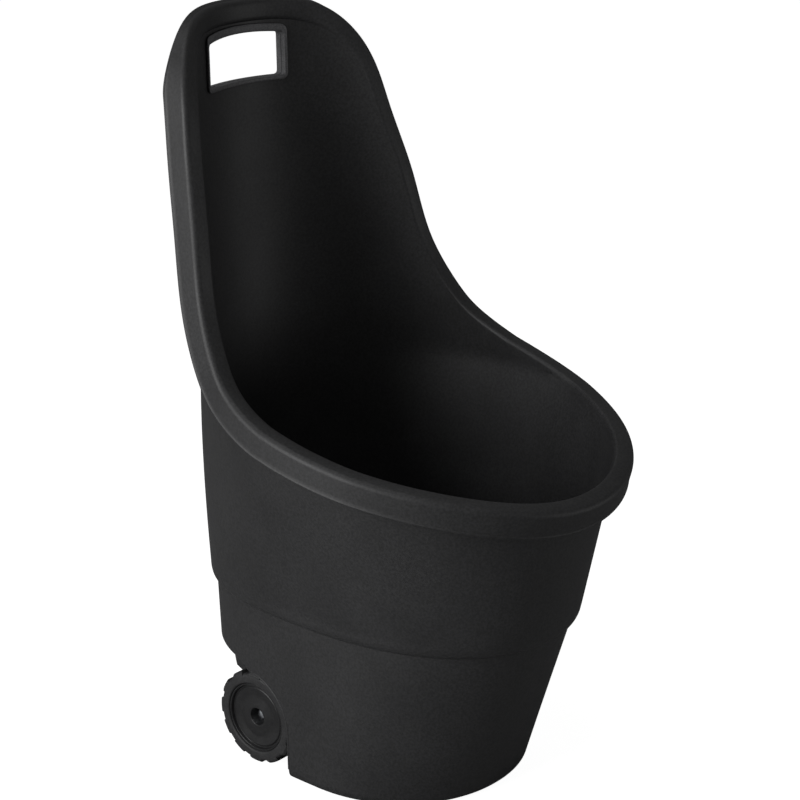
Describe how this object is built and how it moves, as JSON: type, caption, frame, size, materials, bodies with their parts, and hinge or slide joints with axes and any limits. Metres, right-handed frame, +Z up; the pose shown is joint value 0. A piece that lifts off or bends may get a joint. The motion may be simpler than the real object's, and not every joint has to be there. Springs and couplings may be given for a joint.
{
  "type": "wheelbarrow",
  "caption": "Upright moulded tub cart with a high handle back, finger grip, rolled rim and lugged wheels on a steel axle under its rear edge.",
  "frame": {"origin": "on the ground under the middle of the cart's footprint", "axes": "+Z up; -Y towards the low front lip, +Y towards the handle; +X along the axle, to the right of someone who looks along +Y"},
  "size_m": [0.457, 0.5324, 0.865],
  "materials": {
    "tub": "injection-moulded polypropylene with a fine matte grain, charcoal black",
    "grip": "smooth grey moulded liner",
    "hub": "moulded black plastic, semi-matte",
    "tyre": "lugged black tread, matte",
    "steel": "zinc-plated steel"
  },
  "bodies": {
    "cart": {"tub_shell": "tub", "grip_liner_front": "grip", "grip_liner_rear": "grip", "axle_rod": "steel", "inner_washer_left": "steel", "inner_washer_right": "steel", "outer_washer_left": "steel", "outer_washer_right": "steel", "push_cap_left": "steel", "push_cap_right": "steel"},
    "wheel_left": {"wheel_hub_left": "hub", "tyre_left": "tyre"},
    "wheel_right": {"wheel_hub_right": "hub", "tyre_right": "tyre"}
  },
  "joints": [
    {"name": "wheel_left_spin", "type": "hinge", "parent": "cart", "child": "wheel_left", "pos_m": [-0.12333, 0.11592, 0.057], "axis": [1, 0, 0], "continuous": true},
    {"name": "wheel_right_spin", "type": "hinge", "parent": "cart", "child": "wheel_right", "pos_m": [0.12333, 0.11592, 0.057], "axis": [1, 0, 0], "continuous": true}
  ]
}
